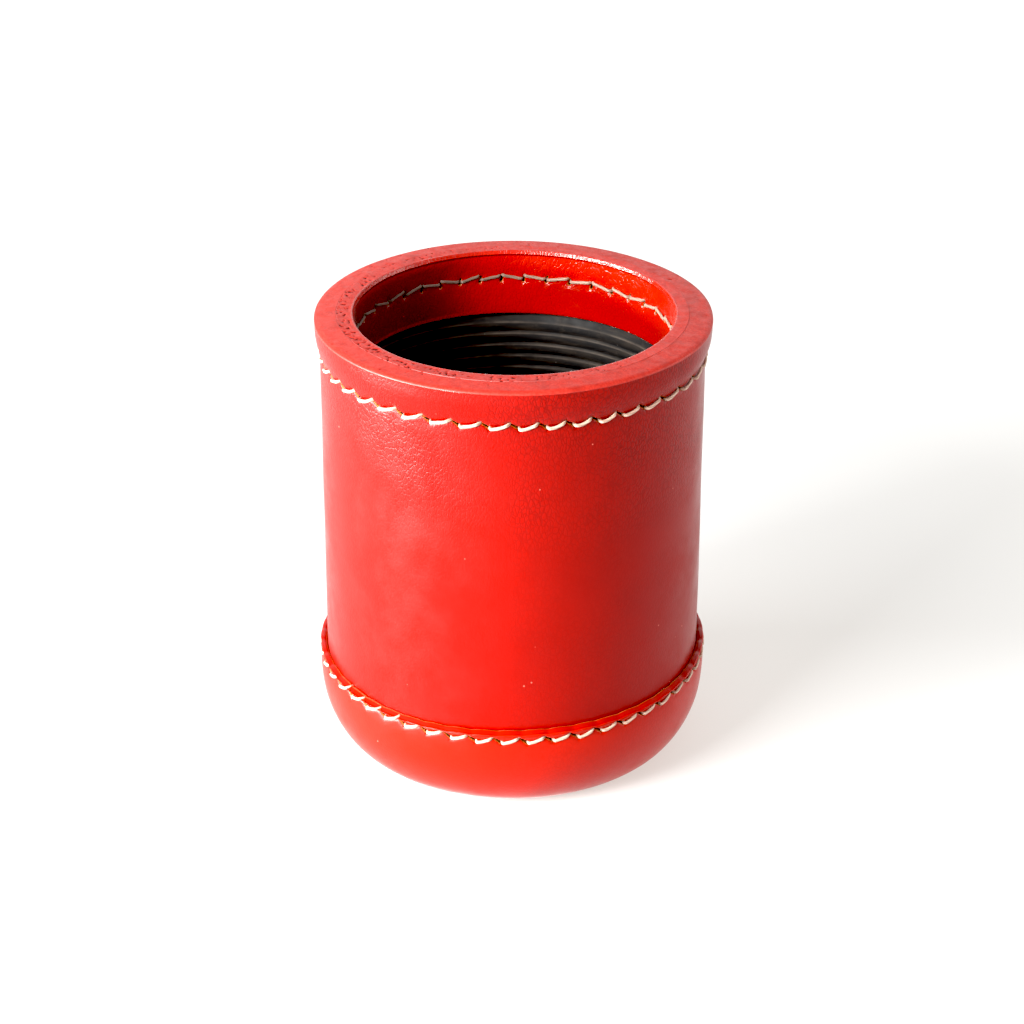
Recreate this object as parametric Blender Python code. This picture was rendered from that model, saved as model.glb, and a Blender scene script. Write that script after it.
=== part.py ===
"""A round stitched leather cup with a ribbed rubber lining, built as its separate pieces.

Metres, +Z up. The origin is the centre of the flat underside, and +Z is the cup's axis.
Angles go round the cup from its front, which faces -Y, and grow to the right as seen from the front.
Nothing on the cup moves.
"""

import math

import bmesh
import bpy
from mathutils import Matrix, Vector

# Driving dimensions
HEIGHT = 0.100
RIM_RADIUS = 0.0417
WALL_RADIUS = 0.04065
MOUTH_RADIUS = 0.0339
BASE_RADIUS = 0.0422

# Faces that meet are glued or sewn. This is the air left between their meshes.
GLUE_LINE = 0.0003

# Wall: one strip of thick leather rolled into a tube
WALL_INSIDE = 0.0372
WALL_FOOT_Z = 0.0088
RIM_FLARE_Z = HEIGHT - 0.0030
RIM_FLARE_START_Z = HEIGHT - 0.0130
RIM_EDGE_ROUND = 0.0011

# Band: the leather facing sewn inside the mouth
BAND_DEPTH = 0.0149
BAND_EDGE_ROUND = 0.0006

# Base: a leather disc moulded up round the foot of the wall
BASE_THICKNESS = 0.0020
BASE_FLAT_RADIUS = 0.0299
BASE_CORNER_TOP = 0.0180
BASE_CORNER_STEPS = 6
BASE_LIP_Z = 0.0221
BASE_LIP_RADIUS = 0.04235
BASE_LIP_EDGE = 0.0004

# Board and floor pad inside the base
BOARD_TOP = 0.0085
PAD_THICKNESS = 0.0030

# Lining: ribbed rubber sheet rolled inside the wall, below the band
LINER_CREST_RADIUS = 0.0346
LINER_ROOT_RADIUS = 0.0358
RIB_PITCH = 0.0032

# The wall, band and lining are strips. Each one's ends meet at an angle of its own.
STRIP_JOINT = 0.0003
WALL_JOINT_ANGLE = math.radians(92)
BAND_JOINT_ANGLE = math.radians(-24)
LINER_JOINT_ANGLE = math.radians(38)

# Stitching: waxed thread through slanted slits cut by a flat awl
THREAD_RADIUS = 0.0004
THREAD_AIR = 0.00012
SLIT_SPREAD = 0.0015
SLIT_DROP = 0.0010
SLIT_WIDTH = 0.0012
SLIT_OVERHANG = 0.00055
RIM_STITCHES = 43
RIM_STITCH_Z = HEIGHT - 0.0083
BASE_STITCHES = 49
BASE_STITCH_Z = 0.0203
HIDDEN_GROOVE_DEPTH = 0.00125
HIDDEN_GROOVE_HALF = 0.0016

# How finely the round pieces are turned
LEATHER_SEGMENTS = 48
RUBBER_SEGMENTS = 32

RED_LEATHER = (0.62, 0.012, 0.008, 1.0)
RED_FACING = (0.55, 0.020, 0.015, 1.0)
BLACK_RUBBER = (0.012, 0.012, 0.012, 1.0)
CREAM_THREAD = (0.78, 0.70, 0.60, 1.0)
BROWN_BOARD = (0.20, 0.12, 0.06, 1.0)


# ---------------------------------------------------------------- helpers

def make_material(name, color, roughness):
    """A Principled material with one colour."""
    material = bpy.data.materials.new(name)
    material.use_nodes = True
    shader = material.node_tree.nodes["Principled BSDF"]
    shader.inputs["Base Color"].default_value = color
    shader.inputs["Roughness"].default_value = roughness
    shader.inputs["Metallic"].default_value = 0.0
    return material


def mesh_object(name, bm):
    """Turns a bmesh into an object of that name, with its faces pointing out."""
    bmesh.ops.recalc_face_normals(bm, faces=bm.faces)
    mesh = bpy.data.meshes.new(name)
    bm.to_mesh(mesh)
    bm.free()
    obj = bpy.data.objects.new(name, mesh)
    bpy.context.scene.collection.objects.link(obj)
    return obj


def ellipse_arc(center, radii, start, end, steps):
    """Points (radius, height) along part of an ellipse, with angles in degrees from the outward direction."""
    points = []
    for i in range(steps + 1):
        angle = math.radians(start + (end - start) * i / steps)
        points.append((center[0] + radii[0] * math.cos(angle), center[1] + radii[1] * math.sin(angle)))
    return points


def turned(name, outline, segments, material):
    """Spins an outline of (radius, height) points round Z. It starts and ends on the axis, or closes on itself."""
    bm = bmesh.new()
    verts = [bm.verts.new((radius, 0, height)) for radius, height in outline]
    edges = [bm.edges.new(pair) for pair in zip(verts, verts[1:])]
    if outline[0][0] > 0:
        edges.append(bm.edges.new((verts[-1], verts[0])))
    bmesh.ops.spin(
        bm, geom=verts + edges, cent=(0, 0, 0), axis=(0, 0, 1),
        angle=math.tau, steps=segments, use_merge=True,
    )
    bmesh.ops.remove_doubles(bm, verts=bm.verts, dist=1e-6)
    obj = mesh_object(name, bm)
    obj.data.materials.append(material)
    obj.data.shade_smooth()
    obj.data.set_sharp_from_angle(angle=math.radians(35))
    return obj


def facing(angle):
    """A frame at the cup's axis whose Y points outwards at that angle, with X along the wall and Z up."""
    return Matrix.Rotation(angle + math.pi, 4, "Z")


def on_cup(angle, radius, height):
    return Vector((radius * math.sin(angle), -radius * math.cos(angle), height))


def add_box(bm, frame, low, high):
    """Adds the box between two corners that are given in a local frame."""
    size = Vector(high) - Vector(low)
    middle = (Vector(high) + Vector(low)) / 2
    bmesh.ops.create_cube(bm, size=1.0, matrix=frame @ Matrix.Translation(middle) @ Matrix.Diagonal((*size, 1)))


def cutter_object(name, bm):
    cutter = mesh_object(name, bm)
    cutter.hide_render = True
    cutter.display_type = "WIRE"
    return cutter


def cut(obj, cutter):
    boolean = obj.modifiers.new("cut_by_" + cutter.name, "BOOLEAN")
    boolean.operation = "DIFFERENCE"
    boolean.solver = "EXACT"
    boolean.object = cutter


def cut_strip_joint(obj, angle, inside, outside):
    """Parts the ends of a rolled strip with one upright gap through its whole height."""
    bm = bmesh.new()
    half, spare = STRIP_JOINT / 2, 0.002
    add_box(bm, facing(angle), (-half, inside - spare, -spare), (half, outside + spare, HEIGHT + spare))
    cut(obj, cutter_object(obj.name + "_joint_cutter", bm))


# ---------------------------------------------------------------- stitching

def rim_slit_angles():
    """The rim's slits, an even pitch that drifts by up to a degree as hand-marked holes do."""
    first, drift, phase = math.radians(-9.0), math.radians(1.0), math.radians(4)
    even = [first + math.tau * i / RIM_STITCHES for i in range(RIM_STITCHES)]
    return [angle + drift * math.cos(4 * (angle + phase)) for angle in even]


def base_slit_angles():
    """The base's slits, which drift half a degree from even."""
    first, drift = math.radians(-4.3), math.radians(0.5)
    even = [first + math.tau * i / BASE_STITCHES for i in range(BASE_STITCHES)]
    return [angle + drift * math.sin(2 * angle) for angle in even]


def slit_cutter(name, angles, height, inside, outside):
    """One slit for each angle, slanting down to the right as seen from outside."""
    slant = math.atan2(SLIT_DROP, SLIT_SPREAD)
    half_length = math.hypot(SLIT_SPREAD, SLIT_DROP) / 2 + SLIT_OVERHANG
    half_width, spare = SLIT_WIDTH / 2, 0.003
    bm = bmesh.new()
    for angle in angles:
        frame = facing(angle) @ Matrix.Translation((0, 0, height)) @ Matrix.Rotation(-slant, 4, "Y")
        low, high = (-half_length, inside - spare, -half_width), (half_length, outside + spare, half_width)
        add_box(bm, frame, low, high)
    return cutter_object(name, bm)


def running_stitch(angles, height, outside, inside):
    """The line of one thread that fills every gap on both faces.

    The number of slits is odd, so the thread goes round twice, out where it was in on the first lap, and meets its
    own start. Where it goes in, it keeps to the upper left end of the slit, and where it comes out, to the lower
    right end. So the two laps stay clear of each other, and each outer stitch rises to the right.
    """
    aside = SLIT_SPREAD / 2 / outside
    low, high = height - SLIT_DROP / 2, height + SLIT_DROP / 2
    points = []
    for step in range(2 * len(angles)):
        here, there = angles[step % len(angles)], angles[(step + 1) % len(angles)]
        if step % 2 == 0:
            points += [on_cup(here + aside, outside, low), on_cup(there - aside, outside, high)]
        else:
            points += [on_cup(here - aside, inside, high), on_cup(there + aside, inside, low)]
    return points


def thread_object(name, points, material):
    """A closed loop of thread along those points."""
    curve = bpy.data.curves.new(name, "CURVE")
    curve.dimensions = "3D"
    curve.bevel_depth = THREAD_RADIUS
    curve.bevel_resolution = 0
    spline = curve.splines.new("POLY")
    spline.points.add(len(points) - 1)
    for slot, point in zip(spline.points, points):
        slot.co = (*point, 1.0)
    spline.use_cyclic_u = True
    curve.materials.append(material)
    obj = bpy.data.objects.new(name, curve)
    bpy.context.scene.collection.objects.link(obj)
    return obj


# ---------------------------------------------------------------- pieces

def base_corner(side_inset, bottom_inset, start, end):
    """Part of the base's tall rounded corner, set in from its outer face at the side and at the bottom."""
    radii = (BASE_RADIUS - BASE_FLAT_RADIUS - side_inset, BASE_CORNER_TOP - bottom_inset)
    return ellipse_arc((BASE_FLAT_RADIUS, BASE_CORNER_TOP), radii, start, end, BASE_CORNER_STEPS)


def corner_angle(height, bottom_inset):
    """The angle in degrees at which that inset corner passes a height."""
    return -math.degrees(math.asin((BASE_CORNER_TOP - height) / (BASE_CORNER_TOP - bottom_inset)))


def build_wall(material):
    """The rolled leather tube. Its rim flares and is rounded off, and its foot is skived to follow the base."""
    side, bottom = BASE_RADIUS - WALL_RADIUS, BASE_THICKNESS + GLUE_LINE
    groove_low, groove_high = BASE_STITCH_Z - HIDDEN_GROOVE_HALF, BASE_STITCH_Z + HIDDEN_GROOVE_HALF
    groove_radius = WALL_INSIDE + HIDDEN_GROOVE_DEPTH
    outline = base_corner(side, bottom, corner_angle(WALL_FOOT_Z, bottom), 0)
    outline += [(WALL_RADIUS, RIM_FLARE_START_Z), (RIM_RADIUS, RIM_FLARE_Z)]
    shoulder = (RIM_RADIUS - RIM_EDGE_ROUND, HEIGHT - RIM_EDGE_ROUND)
    outline += ellipse_arc(shoulder, (RIM_EDGE_ROUND, RIM_EDGE_ROUND), 0, 90, 3)
    outline += [
        (WALL_INSIDE, HEIGHT),
        (WALL_INSIDE, groove_high),
        (groove_radius, groove_high),
        (groove_radius, groove_low),
        (WALL_INSIDE, groove_low),
        (WALL_INSIDE, WALL_FOOT_Z),
    ]
    wall = turned("outer_wall", outline, LEATHER_SEGMENTS, material)
    cut_strip_joint(wall, WALL_JOINT_ANGLE, WALL_INSIDE, RIM_RADIUS)
    return wall


def build_band(material):
    """The leather facing inside the mouth, flush with the rim."""
    bottom, outside = HEIGHT - BAND_DEPTH, WALL_INSIDE - GLUE_LINE
    corner = (MOUTH_RADIUS + BAND_EDGE_ROUND, HEIGHT - BAND_EDGE_ROUND)
    outline = [(outside, bottom), (outside, HEIGHT)]
    outline += ellipse_arc(corner, (BAND_EDGE_ROUND, BAND_EDGE_ROUND), 90, 180, 2)
    outline += [(MOUTH_RADIUS, bottom)]
    band = turned("mouth_band", outline, LEATHER_SEGMENTS, material)
    cut_strip_joint(band, BAND_JOINT_ANGLE, MOUTH_RADIUS, outside)
    return band


def build_base(material):
    """The moulded base: flat underside, tall rounded corner, and a thinned lip sewn to the wall."""
    sleeve = WALL_RADIUS + GLUE_LINE
    outline = [(0, 0)]
    outline += base_corner(0, 0, -90, 0)
    outline += [
        (BASE_LIP_RADIUS, BASE_LIP_Z - BASE_LIP_EDGE),
        (BASE_LIP_RADIUS - BASE_LIP_EDGE, BASE_LIP_Z),
        (sleeve, BASE_LIP_Z),
    ]
    outline += base_corner(BASE_RADIUS - sleeve, BASE_THICKNESS, 0, -90)
    outline += [(0, BASE_THICKNESS)]
    return turned("base_cup", outline, LEATHER_SEGMENTS, material)


def build_board(material):
    """The stiff board that fills the moulded base and carries the wall's foot."""
    side, bottom = BASE_RADIUS - WALL_RADIUS, BASE_THICKNESS + GLUE_LINE
    outline = [(0, bottom)]
    outline += base_corner(side, bottom, -90, corner_angle(BOARD_TOP, bottom))
    outline += [(0, BOARD_TOP)]
    return turned("base_board", outline, RUBBER_SEGMENTS, material)


def build_pad(material):
    """The rubber disc that the contents land on."""
    radius, bottom = WALL_INSIDE - GLUE_LINE, BOARD_TOP + GLUE_LINE
    top = bottom + PAD_THICKNESS
    outline = [(0, bottom), (radius, bottom), (radius, top), (0, top)]
    return turned("floor_pad", outline, RUBBER_SEGMENTS, material)


def build_liner(material):
    """Ribbed rubber sheet: a plain back, and ridges one pitch apart down the inside."""
    back = WALL_INSIDE - GLUE_LINE
    bottom = BOARD_TOP + PAD_THICKNESS + 2 * GLUE_LINE
    top = HEIGHT - BAND_DEPTH - GLUE_LINE
    outline = [(back, bottom), (back, top), (LINER_ROOT_RADIUS, top)]
    for i in range(int((top - bottom) / RIB_PITCH)):
        crest = top - RIB_PITCH * (i + 0.5)
        outline += [(LINER_CREST_RADIUS, crest), (LINER_ROOT_RADIUS, crest - RIB_PITCH / 2)]
    outline += [(LINER_ROOT_RADIUS, bottom)]
    liner = turned("ribbed_liner", outline, RUBBER_SEGMENTS, material)
    cut_strip_joint(liner, LINER_JOINT_ANGLE, LINER_CREST_RADIUS, back)
    return liner


def build():
    leather = make_material("red_leather", RED_LEATHER, 0.42)
    facing_leather = make_material("red_facing", RED_FACING, 0.45)
    rubber = make_material("black_rubber", BLACK_RUBBER, 0.6)
    board = make_material("brown_board", BROWN_BOARD, 0.8)
    thread = make_material("cream_thread", CREAM_THREAD, 0.7)

    wall = build_wall(leather)
    band = build_band(facing_leather)
    base = build_base(leather)
    build_board(board)
    build_pad(rubber)
    build_liner(rubber)

    rim_angles, base_angles = rim_slit_angles(), base_slit_angles()
    rim_slits = slit_cutter("rim_slits", rim_angles, RIM_STITCH_Z, MOUTH_RADIUS, RIM_RADIUS)
    base_slits = slit_cutter("base_slits", base_angles, BASE_STITCH_Z, WALL_INSIDE, BASE_LIP_RADIUS)
    for piece, slits in ((wall, rim_slits), (band, rim_slits), (wall, base_slits), (base, base_slits)):
        cut(piece, slits)

    off_face = THREAD_RADIUS + THREAD_AIR
    flare = (RIM_RADIUS - WALL_RADIUS) * (RIM_STITCH_Z - RIM_FLARE_START_Z) / (RIM_FLARE_Z - RIM_FLARE_START_Z)
    rim_outside = WALL_RADIUS + flare + off_face
    rim_path = running_stitch(rim_angles, RIM_STITCH_Z, rim_outside, MOUTH_RADIUS - off_face)
    thread_object("rim_thread", rim_path, thread)
    groove = WALL_INSIDE + HIDDEN_GROOVE_DEPTH - off_face
    base_path = running_stitch(base_angles, BASE_STITCH_Z, BASE_LIP_RADIUS + off_face, groove)
    thread_object("base_thread", base_path, thread)


for leftover in list(bpy.data.objects):
    bpy.data.objects.remove(leftover)
build()
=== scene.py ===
import math
import random

import bpy
import numpy as np
from mathutils import Matrix, Vector, noise


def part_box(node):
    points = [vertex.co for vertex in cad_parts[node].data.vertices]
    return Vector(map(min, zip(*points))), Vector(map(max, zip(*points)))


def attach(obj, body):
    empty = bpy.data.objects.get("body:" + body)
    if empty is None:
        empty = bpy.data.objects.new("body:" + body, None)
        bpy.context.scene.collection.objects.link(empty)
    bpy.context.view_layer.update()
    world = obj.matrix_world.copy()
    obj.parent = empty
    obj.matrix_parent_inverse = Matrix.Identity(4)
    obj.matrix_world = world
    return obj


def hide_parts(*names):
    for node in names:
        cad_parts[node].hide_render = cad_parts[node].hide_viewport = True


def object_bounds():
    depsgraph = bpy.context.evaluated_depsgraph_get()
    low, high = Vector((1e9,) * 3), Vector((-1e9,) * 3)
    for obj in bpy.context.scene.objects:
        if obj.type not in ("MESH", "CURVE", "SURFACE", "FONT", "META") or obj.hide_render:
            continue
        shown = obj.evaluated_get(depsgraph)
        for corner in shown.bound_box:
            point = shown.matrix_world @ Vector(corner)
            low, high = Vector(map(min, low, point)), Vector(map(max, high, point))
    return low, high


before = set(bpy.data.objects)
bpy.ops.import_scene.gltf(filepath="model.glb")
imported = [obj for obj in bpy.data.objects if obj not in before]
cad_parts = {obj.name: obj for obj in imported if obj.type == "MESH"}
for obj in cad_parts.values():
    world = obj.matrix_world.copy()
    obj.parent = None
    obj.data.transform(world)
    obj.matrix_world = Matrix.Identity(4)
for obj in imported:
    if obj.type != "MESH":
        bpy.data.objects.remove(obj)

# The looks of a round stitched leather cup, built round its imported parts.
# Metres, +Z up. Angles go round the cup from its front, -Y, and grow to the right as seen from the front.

MM = 0.001
cad_low, cad_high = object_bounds()

# Sizes that the frame gives
HEIGHT = cad_high.z
RIM_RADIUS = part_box("outer_wall")[1].x
BASE_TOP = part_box("base_cup")[1].z
BASE_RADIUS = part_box("base_cup")[1].x
BAND_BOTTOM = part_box("mouth_band")[0].z
BAND_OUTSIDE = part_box("mouth_band")[1].x
LINER_LOW, LINER_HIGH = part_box("ribbed_liner")
PAD_LOW, PAD_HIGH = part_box("floor_pad")
RIM_STITCH_Z = (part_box("rim_thread")[0].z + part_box("rim_thread")[1].z) / 2
BASE_STITCH_Z = (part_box("base_thread")[0].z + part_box("base_thread")[1].z) / 2
WALL_FOOT_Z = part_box("outer_wall")[0].z

# Sizes inside those boxes. The mouth's and the ribs' pitch are nearer the real cup's than the solids' are.
WALL_RADIUS = 40.65 * MM
WALL_INSIDE = 37.2 * MM
MOUTH_RADIUS = 33.75 * MM
MOUTH_TO_RIGHT = 0.37 * MM
MOUTH_TO_BACK = 0.20 * MM
BASE_THICKNESS = 2.0 * MM
BASE_FLAT_RADIUS = 29.9 * MM
BASE_CORNER_TOP = 18.0 * MM
RIB_CREST = 34.6 * MM
RIB_ROOT = 35.8 * MM
RIB_PITCH = 2.7 * MM

# Stitching. An odd number of stitches lets a thread that goes round twice meet its own start.
RIM_STITCHES = 43
BASE_STITCHES = 49
SLIT_HALF_SPREAD = 0.80 * MM
SLIT_HALF_DROP = 0.55 * MM
THREAD_HALF_WIDTH = 0.36 * MM
THREAD_START_ASIDE = 0.30 * MM
THREAD_IN_LEATHER = 1.5 * MM
INNER_ASIDE = 0.15 * MM
POINTS_PER_STITCH = 17
INNER_STITCH_Z = HEIGHT - 6.2 * MM

# How a strip's ends are rounded where they butt, and how fast a disc's middle rings shrink
END_ROUNDING = 0.07 * MM
END_ROUNDED_OVER = 0.3 * MM
RING_SHRINK = 0.6


# ---------------------------------------------------------------- small helpers

def smooth(x):
    """0 below 0, 1 above 1, and an S-curve between."""
    x = np.clip(x, 0, 1)
    return x * x * (3 - 2 * x)


def span(start, end, step):
    """Evenly spaced values from start up to, but not including, end, no further apart than step."""
    count = max(1, math.ceil(abs(end - start) / step - 1e-6))
    return [start + (end - start) * i / count for i in range(count)]


def line(a, b, step):
    """Points from a up to, but not including, b."""
    count = max(1, math.ceil(math.dist(a, b) / step - 1e-6))
    return [(a[0] + (b[0] - a[0]) * i / count, a[1] + (b[1] - a[1]) * i / count) for i in range(count)]


def arc(centre, radii, start, end, steps):
    """Points along part of an ellipse, with angles in degrees, up to but not including the last."""
    points = []
    for i in range(steps):
        angle = math.radians(start + (end - start) * i / steps)
        points.append((centre[0] + radii[0] * math.cos(angle), centre[1] + radii[1] * math.sin(angle)))
    return points


def wrapped(angle):
    """The same angle between -pi and pi."""
    return (angle + np.pi) % (2 * np.pi) - np.pi


def lumps(points, size, seed, octaves=2):
    """Smooth noise between about -1 and 1 at each point, with features of that size."""
    offset = Vector((seed * 7.31, seed * 3.17, seed * 5.77))
    flat = points.reshape(-1, 3) / size
    values = [noise.fractal(Vector(p) + offset, 1.0, 2.0, octaves) for p in flat]
    return np.array(values).reshape(points.shape[:-1])


# ---------------------------------------------------------------- where the stitches are

def rim_slits():
    """The rim's slits, an even pitch that drifts by up to a degree as hand-marked holes do."""
    first, drift, phase = math.radians(-9.0), math.radians(1.0), math.radians(4)
    even = np.array([first + math.tau * i / RIM_STITCHES for i in range(RIM_STITCHES)])
    return even + drift * np.cos(4 * (even + phase))


def base_slits():
    """The base's slits, which drift half a degree from even."""
    first, drift = math.radians(-4.3), math.radians(0.5)
    even = np.array([first + math.tau * i / BASE_STITCHES for i in range(BASE_STITCHES)])
    return even + drift * np.sin(2 * even)


def columns_for(slits, radius):
    """Angles of a grid's columns: close together at each slit, and further apart between."""
    close, near_steps, far_steps = 1.55 * MM / radius, 18, 7
    angles = []
    for here, there in zip(slits, np.append(slits[1:], slits[0] + math.tau)):
        angles += [here - close + 2 * close * i / near_steps for i in range(near_steps)]
        gap = there - here - 2 * close
        angles += [here + close + gap * i / far_steps for i in range(far_steps)]
    return np.array(angles)


def strip_columns(angles, joint):
    """The same columns cut open at a joint between two slits, with a few more columns close to the cut."""
    half_gap = 0.005 * MM / WALL_RADIUS
    extra = np.array([0, 0.06, 0.14, 0.28]) * MM / WALL_RADIUS
    first, last = joint + half_gap, joint + math.tau - half_gap
    turned = np.sort((angles - first) % math.tau + first)
    clear = 0.4 * MM / WALL_RADIUS
    inside = turned[(turned > first + clear) & (turned < last - clear)]
    return np.concatenate([first + extra, inside, last - extra[::-1]])


def between(slits, i):
    """The angle halfway between slit i and the next."""
    return float(slits[i] + slits[i + 1]) / 2


def end_rounding(angles, joint, radius):
    """How far a strip's face is rounded off at each angle, close to the joint where its ends butt."""
    from_joint = np.abs(wrapped(angles - joint)) * radius
    return END_ROUNDING * (1 - np.clip(from_joint / END_ROUNDED_OVER, 0, 1)) ** 2


# ---------------------------------------------------------------- skins turned round the axis

def outline_normals(outline):
    """Outward unit normals of a closed outline that runs up its outer side."""
    along = np.roll(outline, -1, axis=0) - np.roll(outline, 1, axis=0)
    normals = np.stack([along[:, 1], -along[:, 0]], axis=1)
    return normals / np.maximum(np.linalg.norm(normals, axis=1, keepdims=True), 1e-12)


def skin_points(angles, outline, push):
    """Grid points round the cup. push moves each one along its outline's normal."""
    normals = outline_normals(outline)
    radius = outline[None, :, 0] + push * normals[None, :, 0]
    height = outline[None, :, 1] + push * normals[None, :, 1]
    across, back = np.sin(angles)[:, None], np.cos(angles)[:, None]
    return np.stack([radius * across, -radius * back, height], axis=-1)


def add_mesh(name, points, faces, material, values):
    """An object from points and faces, shaded smooth, with named values stored on its points."""
    mesh = bpy.data.meshes.new(name)
    mesh.from_pydata(points, [], faces)
    mesh.materials.append(material)
    mesh.shade_smooth()
    for key, value in values.items():
        stored = mesh.attributes.new(key, "FLOAT", "POINT")
        stored.data.foreach_set("value", np.asarray(value, np.float32).ravel())
    obj = bpy.data.objects.new(name, mesh)
    bpy.context.scene.collection.objects.link(obj)
    return obj


def quads(columns, rows, wrap):
    """Faces of a grid whose rows close on themselves, and whose columns do if wrap is true."""
    index = np.arange(columns * rows).reshape(columns, rows)
    here = index if wrap else index[:-1]
    there = np.roll(index, -1, axis=0) if wrap else index[1:]
    faces = np.stack([here, there, np.roll(there, -1, axis=1), np.roll(here, -1, axis=1)], axis=-1)
    return faces.reshape(-1, 4).tolist()


def strip_object(name, points, material, values):
    """A rolled strip: a grid that is open at its joint, with both ends closed."""
    columns, rows = points.shape[:2]
    faces = quads(columns, rows, wrap=False)
    faces.append(list(range(rows)))
    faces.append([(columns - 1) * rows + i for i in reversed(range(rows))])
    return add_mesh(name, points.reshape(-1, 3), faces, material, values)


def with_edge(obj, rows, start, end, material):
    """Gives a second material to a strip's faces between those two rows of its outline."""
    obj.data.materials.append(material)
    for polygon in obj.data.polygons:
        if len(polygon.vertices) == 4 and start - 1 <= min(v % rows for v in polygon.vertices) < end - 1:
            polygon.material_index = 1
    return obj


def disc_object(name, points, steps, material, values):
    """A grid whose first and last rows are rings round the axis, closed by coarser rings and small caps.

    steps says how many points of the finer ring each point of the next, smaller ring stands for.
    """
    columns, rows = points.shape[:2]
    index = np.arange(columns * rows).reshape(columns, rows)
    there = np.roll(index, -1, axis=0)
    faces = np.stack([index[:, :-1], there[:, :-1], there[:, 1:], index[:, 1:]], axis=-1)
    faces = faces.reshape(-1, 4).tolist()
    places = [points.reshape(-1, 3)]
    total = columns * rows
    for row, turned_over in ((0, False), (rows - 1, True)):
        fine, ring = index[:, row].tolist(), points[:, row]
        for step in steps:
            ring = ring[::step] * np.array([RING_SHRINK, RING_SHRINK, 1.0])
            coarse = list(range(total, total + len(ring)))
            places.append(ring)
            total += len(ring)
            for i, corner in enumerate(coarse):
                after = coarse[(i + 1) % len(coarse)]
                run = [fine[(i * step + k) % len(fine)] for k in range(step + 1)]
                face = [after, *reversed(run), corner] if turned_over else [corner, *run, after]
                faces.append(face[::-1])
            fine = coarse
        faces.append(fine if turned_over else fine[::-1])
    count = total - columns * rows
    values = {key: np.append(np.asarray(value).ravel(), np.zeros(count)) for key, value in values.items()}
    return add_mesh(name, np.concatenate(places), faces, material, values)


# ---------------------------------------------------------------- how the leather takes the stitches

def stitch_rise(u):
    """A stitch's height between its ends, from -1 to 1: level at first, then rising."""
    return -1 + 2 * u ** 1.8


def base_row_lift(angles):
    """How far the base's row of stitches stands above the solids' row. It rises towards both sides."""
    sideways = np.sin(angles)
    return (-0.25 + sideways ** 2 * (1.85 + 0.40 * sideways)) * MM


def base_lip_drop(angles):
    """How far the base's lip dips towards its stitches. It dips at the left and stands higher in front."""
    dip = np.exp(-(wrapped(angles + math.radians(48)) / math.radians(22)) ** 2)
    rise = np.exp(-(wrapped(angles - math.radians(8)) / math.radians(30)) ** 2)
    return (0.45 * dip - 0.75 * rise) * MM


def stitch_marks(angles, heights, radius, slits, level, inside=False):
    """What sewing does to a face: (how deep it is pressed in, how open it is cut) at each column and row.

    On the inside of the mouth the slits are shorter, and hang below the thread.
    """
    t = heights[None, :] - level
    depth = np.repeat(0.14 * MM * np.exp(-(t / (1.7 * MM)) ** 2), len(angles), axis=0)
    opened = np.zeros_like(depth)
    if inside:
        first, run = np.array([0.10, 0.25]) * MM, np.array([0.25, -1.15]) * MM
    else:
        first = np.array([-SLIT_HALF_SPREAD, SLIT_HALF_DROP])
        run = np.array([2 * SLIT_HALF_SPREAD + THREAD_START_ASIDE, -2 * SLIT_HALF_DROP])
    for here, there in zip(slits, np.append(slits[1:], slits[0] + math.tau)):
        s = wrapped(angles - here)[:, None] * radius
        near = np.abs(s[:, 0]) < 3.0 * MM
        s = s[near]
        along = np.clip(((s - first[0]) * run[0] + (t - first[1]) * run[1]) / (run @ run), 0, 1)
        away = np.hypot(s - first[0] - along * run[0], t - first[1] - along * run[1])
        half_width = (0.24 + 0.20 * along) * MM
        cut = smooth(1.05 - away / half_width)
        dimple = 0.20 * MM * np.exp(-(away / (0.70 * MM)) ** 2)
        depth[near] = np.maximum(depth[near], cut * 1.1 * MM) + dimple
        opened[near] = np.maximum(opened[near], smooth(1.35 - away / half_width))
        if inside:
            continue
        length = (there - here) * radius - 2 * SLIT_HALF_SPREAD - THREAD_START_ASIDE
        s = wrapped(angles - here)[:, None] * radius - SLIT_HALF_SPREAD - THREAD_START_ASIDE
        near = (s[:, 0] > -0.3 * MM) & (s[:, 0] < length + 0.3 * MM)
        path = SLIT_HALF_DROP * stitch_rise(np.clip(s[near] / length, 0, 1))
        depth[near] += 0.20 * MM * np.exp(-((t - path) / (0.50 * MM)) ** 2)
    return depth, opened


# ---------------------------------------------------------------- materials

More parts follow.
